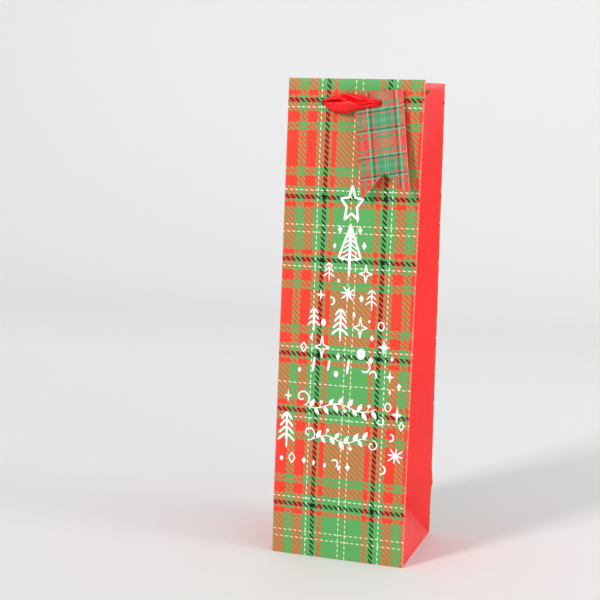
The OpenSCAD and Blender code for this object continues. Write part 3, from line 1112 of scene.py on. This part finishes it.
def open_ribbon(name, side, stations, seed):
    """Ribbon that opens into two lobes between gathers, along its stations."""
    table = np.array(stations, float)
    knots = np.linspace(0, len(table) - 1, 15 * len(table))
    rows = np.stack([catmull(knots, table[:, i]) for i in range(table.shape[1])], 1)
    along = unit_rows(np.gradient(rows[:, :2], axis=0))
    v = np.linspace(-1, 1, 73)
    grid = []
    for row, way in zip(rows, along):
        x, out, above, below, swell, valley, valley_at, cross, cross_at, pleat = row
        crown = swell * np.sqrt(np.clip(1 - np.abs(v) ** 2.4, 0, 1))
        crown = crown * (1 - valley * bump(v, valley_at, 0.17)) * (1 - cross * bump(v, cross_at, 0.2))
        pleats = max(0.0, pleat) * np.cos(v * math.pi * 4) * (1 - 0.3 * v**2)
        uneven = 0.16 * ripple(v * 7 + x * 0.3, np.full(len(v), x), seed, size=15.0)
        depth = np.maximum(crown, -0.4) + pleats + uneven * min(1.0, swell)
        up = np.where(v > 0, v * above, v * below)
        grid.append(on_wall(side, np.stack([x - way[1] * depth, out + way[0] * depth, up], -1)))
    return strip_object(name, grid)


front_ribbon = open_ribbon("ribbon_front", FRONT, FRONT_STATIONS, 5)
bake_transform(front_ribbon)
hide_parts("front_ribbon", "tag_ribbon")

back_ribbon = open_ribbon("ribbon_back", BACK, BACK_STATIONS, 9)
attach(back_ribbon, "root")
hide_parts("back_ribbon")

path = on_wall(FRONT, curve((17.7, 3.9, 0), (18.0, 2.6, 0), (19.6, 1.5, 0), (21.6, 1.2, 0),
                            (23.0, 0.4, 0), (23.2, -1, 0), (23.2, -3, 0), count=40))
behind_tag = gathered_strip("ribbon_behind_tag", path, (0, 0, 1), 3.8, 41)
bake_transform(behind_tag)

# ---------------- handles, folded down inside
RAISE_Y = -wall_y(HOLE_Z) + 1.6 + 1.7  # the strands' plane, clear of the turned edge and board
LAYER_GAP = 3.0  # from the tails to the loop folded up in front of them
LINK_L = 56.0
ELBOW_X = 10.0
ARCH_R = 4.3
KNOT_DROP = 26.0


def knot(name, centre, side):
    """Overhand knot: a flattened trefoil of gathered ribbon."""
    t = np.linspace(0, 2 * math.pi, 121)[:-1]
    size = 1.05
    x = size * (np.sin(t) + 2 * np.sin(2 * t)) * 0.62
    y = -size * np.sin(3 * t) * 0.75
    z = size * (np.cos(t) - 2 * np.cos(2 * t)) * 0.72
    path = np.stack([x, y, z], 1)
    along = unit_rows(np.roll(path, -1, 0) - np.roll(path, 1, 0))
    up = unit_rows(np.cross(along, (0.0, 1.0, 0.0)))
    other = np.cross(along, up)
    count = 14
    points = []
    faces = []
    for i, place in enumerate(path):
        j = (i + 1) % len(path)
        for k in range(count):
            a = 2 * math.pi * k / count
            ridge = 1 + 0.1 * math.cos(3 * a + 4 * t[i])
            rise, out = 1.45 * ridge * math.cos(a), ridge * math.sin(a)
            points.append(place + up[i] * rise + other[i] * out)
            m = (k + 1) % count
            faces.append((i * count + k, i * count + m, j * count + m, j * count + k))
    turn = np.array([side, side, 1.0])
    return new_object(name, (np.array(points) + centre) * turn, faces, [SATIN])


def handle(side, label):
    """The inner part of one wall's ribbon: two tails, and the loop folded up in front of them."""
    turn = np.array([side, side, 1.0])
    tails = label + "_tails"
    knot_x = -HOLE_X + (HOLE_X - ELBOW_X) * (KNOT_DROP / LINK_L) + 1.2
    centre = (knot_x, RAISE_Y + 0.3, HOLE_Z - KNOT_DROP)
    tied = knot(f"{label}_ribbon_knot", centre, side)
    belong(tied, tails, "satin_ribbon", label + "_handle_knot")
    for hand, hand_name in ((-1, "left"), (1, "right")):
        hole = hand * HOLE_X
        elbow = hand * ELBOW_X
        entry = curve((hole, RAISE_Y - 3.9, HOLE_Z), (hole, RAISE_Y - 2.0, HOLE_Z + 0.1),
                      (hole, RAISE_Y - 0.8, HOLE_Z - 0.1), (hole, RAISE_Y - 0.15, HOLE_Z - 0.9),
                      (hole, RAISE_Y, HOLE_Z - 2.0), count=22)
        hang = np.linspace(entry[-1], (elbow, RAISE_Y, HOLE_Z - LINK_L), 60)
        sag = np.sin(np.linspace(0, math.pi, 60))
        hang[:, 0] -= hand * 1.2 * sag
        path = np.vstack([entry[:-1], hang])
        widths = np.concatenate([np.full(21, 3.7), 3.7 + 1.3 * sag])
        name = f"{label}_ribbon_tail_{hand_name}"
        tail = gathered_strip(name, path * turn, (1, 0, 0), widths, 60 + hand)
        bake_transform(tail)
    low = HOLE_Z - LINK_L
    top = HOLE_Z - 6.8
    half = LAYER_GAP / 2
    deep = RAISE_Y + LAYER_GAP
    turns = np.linspace(0, math.pi, 16)
    fold_y = RAISE_Y + half - half * np.cos(turns)
    fold = np.stack([np.full(16, -ELBOW_X), fold_y, low - half * np.sin(turns)], 1)
    leg = np.linspace((-ELBOW_X, deep, low), (-ARCH_R, deep, top), 50)[1:-1]
    angles = np.linspace(math.pi, 0, 24)
    arch = np.stack([ARCH_R * np.cos(angles), np.full(24, deep), top + ARCH_R * np.sin(angles)], 1)
    rise = np.vstack([fold, leg])
    path = np.vstack([rise, arch, (rise * np.array([-1.0, 1.0, 1.0]))[::-1]])
    tangent = np.gradient(path, axis=0)
    folding = np.abs(tangent[:, 1:2]) > 0.02
    across = np.where(folding, (1.0, 0.0, 0.0), np.cross(tangent, (0.0, 1.0, 0.0)))
    name = f"{label}_ribbon_loop"
    whole = gathered_strip(name, path * turn, across * turn, GATHERED_W, 81, crumple=0.08)
    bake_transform(whole)
    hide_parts(label + "_handle_loop")
    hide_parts(label + "_handle_tails")


handle(FRONT, "front")
handle(BACK, "back")


# ---------------- gift tag
TAG_W = 35.0
TAG_L = 74.5
TAG_NOTCH = 17.0
TAG_HOLE_X = 18.5
TAG_HOLE_R = 2.3
TAG_OFF = 3.0  # from the wall to the tag's hole
TAG_TILT = 8.0  # degrees in its own plane
TAG_STAND = 5.0  # degrees off the wall
TAG_T = 0.45


def tag_object():
    """Swallow-tailed card that hangs askew from its hole."""
    grid = []
    for share in np.linspace(0, 1, 49):
        row = []
        for x in np.linspace(-TAG_W / 2, TAG_W / 2, 25):
            foot = TAG_TOP - TAG_L + TAG_NOTCH * (1 - abs(x) / (TAG_W / 2))
            z = foot + (TAG_TOP - foot) * share
            curl = 0.5 * (x / (TAG_W / 2)) ** 2 + 1.1 * smooth(-z / 70) * (x / TAG_W + 0.3)
            row.append((x, -TAG_T / 2 - curl, z))
        grid.append(row)
    obj = grid_object("gift_tag_card", grid, [TAG_CARD, INNER_CARD, CARD_EDGE])
    thicken(obj, TAG_T, inner=1, rim=2)
    punch(obj, ((0, 0, 0), (0, 1, 0), TAG_HOLE_R, 8))
    hang = (
        Matrix.Translation((TAG_HOLE_X * MM, -wall_y(HOLE_Z) * MM, HOLE_Z * MM))
        @ Matrix.Rotation(-LEAN, 4, "X")
        @ Matrix.Translation((0, -TAG_OFF * MM, 0))
        @ Matrix.Rotation(-math.radians(TAG_TILT), 4, "Y")
        @ Matrix.Rotation(-math.radians(TAG_STAND), 4, "X")
    )
    obj.matrix_world = hang
    belong(obj, "tag", "tag_card", "gift_tag")


tag_object()


# ---------------- camera, light and stage
def aimed(name, data, place, right, up, ahead):
    """Camera or light at a place in metres, that looks ahead."""
    obj = bpy.data.objects.new(name, data)
    turn = Matrix(np.column_stack([right, up, -ahead]).tolist()).to_4x4()
    obj.matrix_world = Matrix.Translation(place) @ turn
    bpy.context.scene.collection.objects.link(obj)
    return obj


CAMERA_PLACE = (0.24842, -0.92262, 0.31437)
CAMERA_TURN = (17.82, 7.64, 1.59)  # yaw, pitch and roll in degrees


def add_camera():
    """Camera of the photograph, as fitted to the bag's corners."""
    camera = bpy.data.cameras.new("camera")
    camera.lens = 76.94
    camera.sensor_width = 36.0
    yaw, pitch, roll = np.radians(CAMERA_TURN)
    level = math.cos(pitch)
    ahead = np.array([-math.sin(yaw) * level, math.cos(yaw) * level, -math.sin(pitch)])
    right = np.array([math.cos(yaw), math.sin(yaw), 0.0])
    up = np.cross(right, ahead)
    side = math.cos(roll) * right + math.sin(roll) * up
    top = -math.sin(roll) * right + math.cos(roll) * up
    bpy.context.scene.camera = aimed("camera", camera, CAMERA_PLACE, side, top, ahead)


def add_light(name, place, aim, size, power, colour=(1, 1, 1)):
    light = bpy.data.lights.new(name, "AREA")
    light.shape = "RECTANGLE"
    light.size, light.size_y = size
    light.energy = power
    light.color = colour
    ahead = unit(np.array(aim, float) - np.array(place, float))
    right = unit(np.cross(ahead, (0.0, 0.0, 1.0)))
    aimed(name, light, place, right, np.cross(right, ahead), ahead)


def add_sweep():
    """Floor that rises into a backdrop in one curve, its paper painted darker at the front and lighter
    towards the back as painted light and shade.
    """
    angles = np.linspace(0, math.pi / 2, 13)
    radius = 0.5
    back = 1.1
    profile = [(-4.0, 0.0), (-1.0, 0.0)]
    profile += [(back + radius * math.sin(a), radius * (1 - math.cos(a))) for a in angles]
    profile += [(back + radius, 4.0)]
    grid = [[(x / MM, y / MM, z / MM) for x in (-4.0, 0.0, 4.0)] for y, z in profile]
    graph = Graph("studio_paper_painted_falloff")
    vector, place = graph.place()
    grain = graph.noise(vector, 60.0, 3.0)
    # Painted light and shade: the paper's colour grows lighter towards the back.
    painted_falloff = graph.math("MULTIPLY_ADD", place[1], 1.2, graph.math("MULTIPLY_ADD", grain, 0.04, 0.2))
    painted_tone = graph.ramp(painted_falloff, [(0.0, (0.74, 0.74, 0.74, 1)), (1.0, (0.88, 0.88, 0.88, 1))])
    sweep = grid_object("sweep", grid, [graph.finish(painted_tone, 0.7)])


def add_world(strength):
    world = bpy.data.worlds.new("studio")
    world.use_nodes = True
    background = world.node_tree.nodes["Background"]
    background.inputs[0].default_value = (1.0, 1.0, 1.0, 1.0)
    background.inputs[1].default_value = strength
    bpy.context.scene.world = world


bpy.context.scene.view_settings.view_transform = "Standard"
add_camera()
add_sweep()
add_world(0.6)
add_light("key", (-1.1, -1.9, 1.5), (0, 0, 0.15), (0.4, 0.4), 33)
add_light("fill", (1.6, -1.3, 1.0), (0, 0, 0.15), (1.2, 1.2), 5)
add_light("side", (1.3, -0.1, 0.64), (0.03, 0, 0.33), (0.4, 0.3), 6)

# Cards of the frame that keep their shape
looks = {f"base_flap_{side}": BASE_CARD for side in ("back", "front", "right", "left")}
looks["base_board"] = GREY_BOARD
for name, material in looks.items():
    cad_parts[name].data.materials.clear()
    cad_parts[name].data.materials.append(material)
